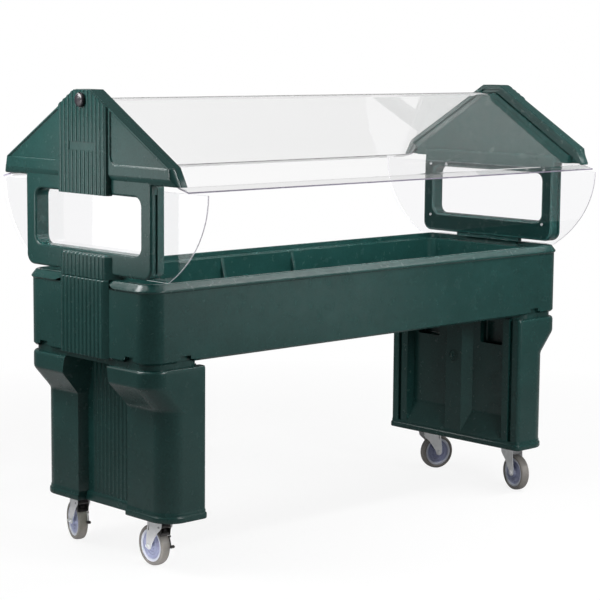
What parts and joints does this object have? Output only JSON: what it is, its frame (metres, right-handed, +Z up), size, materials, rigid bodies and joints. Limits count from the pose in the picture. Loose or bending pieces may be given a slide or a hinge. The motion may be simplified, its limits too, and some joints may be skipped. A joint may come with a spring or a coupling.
{
  "type": "mobile salad bar",
  "caption": "Long insulated tub on two caster pedestals, with gabled end frames that carry a clear folded canopy and clear D-shaped end shields.",
  "frame": {"origin": "on the floor, under the middle of the tub", "axes": "+X along the tub, +Y across it towards the back long side, +Z up"},
  "size_m": [1.904, 0.982, 1.4225],
  "materials": {
    "green_body": "moulded dark green, fine grain, satin",
    "clear_sheet": "clear plastic sheet, polished",
    "zinc": "zinc plated, satin",
    "steel_fastener": "plated",
    "tyre_grey": "grey thermoplastic rubber",
    "hub_plastic": "blue-grey moulded",
    "black_plastic": "satin black",
    "rubber_black": "soft black",
    "brass": "turned",
    "brake_steel": "dark plated"
  },
  "bodies": {
    "cabinet": {"tub": "green_body", "drain_body": "steel_fastener", "drain_gasket": "rubber_black", "drain_locknut": "steel_fastener", "canopy": "clear_sheet", "pedestal_left": "green_body", "pedestal_plug_left": "green_body", "pedestal_bolts_left": "steel_fastener", "end_frame_left": "green_body", "end_frame_bolts_left": "steel_fastener", "end_shield_left": "clear_sheet", "shield_screws_left": "steel_fastener", "knob_insert_left": "brass", "pedestal_right": "green_body", "pedestal_plug_right": "green_body", "pedestal_bolts_right": "steel_fastener", "end_frame_right": "green_body", "end_frame_bolts_right": "steel_fastener", "end_shield_right": "clear_sheet", "shield_screws_right": "steel_fastener", "knob_insert_right": "brass", "caster_plate_left_front": "zinc", "caster_bolts_left_front": "steel_fastener", "caster_kingpin_left_front": "steel_fastener", "caster_plate_left_back": "zinc", "caster_bolts_left_back": "steel_fastener", "caster_kingpin_left_back": "steel_fastener", "caster_plate_right_front": "zinc", "caster_bolts_right_front": "steel_fastener", "caster_kingpin_right_front": "steel_fastener", "caster_plate_right_back": "zinc", "caster_bolts_right_back": "steel_fastener", "caster_kingpin_right_back": "steel_fastener"},
    "drain_cap": {"drain_cap": "black_plastic"},
    "knob_left": {"canopy_knob_left": "black_plastic"},
    "knob_right": {"canopy_knob_right": "black_plastic"},
    "swivel_left_front": {"caster_fork_left_front": "zinc", "axle_bolt_left_front": "steel_fastener", "axle_bush_left_front": "steel_fastener", "brake_pin_left_front": "steel_fastener"},
    "wheel_left_front": {"wheel_hub_left_front": "hub_plastic", "tyre_left_front": "tyre_grey"},
    "brake_left_front": {"brake_lever_left_front": "brake_steel"},
    "swivel_left_back": {"caster_fork_left_back": "zinc", "axle_bolt_left_back": "steel_fastener", "axle_bush_left_back": "steel_fastener", "brake_pin_left_back": "steel_fastener"},
    "wheel_left_back": {"wheel_hub_left_back": "hub_plastic", "tyre_left_back": "tyre_grey"},
    "brake_left_back": {"brake_lever_left_back": "brake_steel"},
    "swivel_right_front": {"caster_fork_right_front": "zinc", "axle_bolt_right_front": "steel_fastener", "axle_bush_right_front": "steel_fastener"},
    "wheel_right_front": {"wheel_hub_right_front": "hub_plastic", "tyre_right_front": "tyre_grey"},
    "swivel_right_back": {"caster_fork_right_back": "zinc", "axle_bolt_right_back": "steel_fastener", "axle_bush_right_back": "steel_fastener"},
    "wheel_right_back": {"wheel_hub_right_back": "hub_plastic", "tyre_right_back": "tyre_grey"}
  },
  "joints": [
    {"name": "drain_cap_turn", "type": "hinge", "parent": "cabinet", "child": "drain_cap", "pos_m": [0, 0, 0.59], "axis": [0, 0, 1], "continuous": true},
    {"name": "knob_turn_left", "type": "hinge", "parent": "cabinet", "child": "knob_left", "pos_m": [-0.935, 0, 1.39194], "axis": [-1, 0, 0], "continuous": true},
    {"name": "knob_turn_right", "type": "hinge", "parent": "cabinet", "child": "knob_right", "pos_m": [0.935, 0, 1.39194], "axis": [1, 0, 0], "continuous": true},
    {"name": "swivel_turn_left_front", "type": "hinge", "parent": "cabinet", "child": "swivel_left_front", "pos_m": [-0.798, -0.2005, 0.146], "axis": [0, 0, 1], "continuous": true},
    {"name": "wheel_turn_left_front", "type": "hinge", "parent": "swivel_left_front", "child": "wheel_left_front", "pos_m": [-0.79591, -0.16056, 0.0625], "axis": [-0.9986, 0.0523, 0], "continuous": true},
    {"name": "brake_left_front", "type": "hinge", "parent": "swivel_left_front", "child": "brake_left_front", "pos_m": [-0.79863, -0.21248, 0.128], "axis": [-0.9986, 0.0523, 0], "range_deg": [-6, 0]},
    {"name": "swivel_turn_left_back", "type": "hinge", "parent": "cabinet", "child": "swivel_left_back", "pos_m": [-0.798, 0.2005, 0.146], "axis": [0, 0, 1], "continuous": true},
    {"name": "wheel_turn_left_back", "type": "hinge", "parent": "swivel_left_back", "child": "wheel_left_back", "pos_m": [-0.78564, 0.23854, 0.0625], "axis": [-0.9511, 0.309, 0], "continuous": true},
    {"name": "brake_left_back", "type": "hinge", "parent": "swivel_left_back", "child": "brake_left_back", "pos_m": [-0.80171, 0.18909, 0.128], "axis": [-0.9511, 0.309, 0], "range_deg": [-6, 0]},
    {"name": "swivel_turn_right_front", "type": "hinge", "parent": "cabinet", "child": "swivel_right_front", "pos_m": [0.798, -0.2005, 0.146], "axis": [0, 0, 1], "continuous": true},
    {"name": "wheel_turn_right_front", "type": "hinge", "parent": "swivel_right_front", "child": "wheel_right_front", "pos_m": [0.78765, -0.23914, 0.0625], "axis": [0.9659, -0.2588, 0], "continuous": true},
    {"name": "swivel_turn_right_back", "type": "hinge", "parent": "cabinet", "child": "swivel_right_back", "pos_m": [0.798, 0.2005, 0.146], "axis": [0, 0, 1], "continuous": true},
    {"name": "wheel_turn_right_back", "type": "hinge", "parent": "swivel_right_back", "child": "wheel_right_back", "pos_m": [0.83604, 0.18814, 0.0625], "axis": [0.309, 0.9511, 0], "continuous": true}
  ]
}
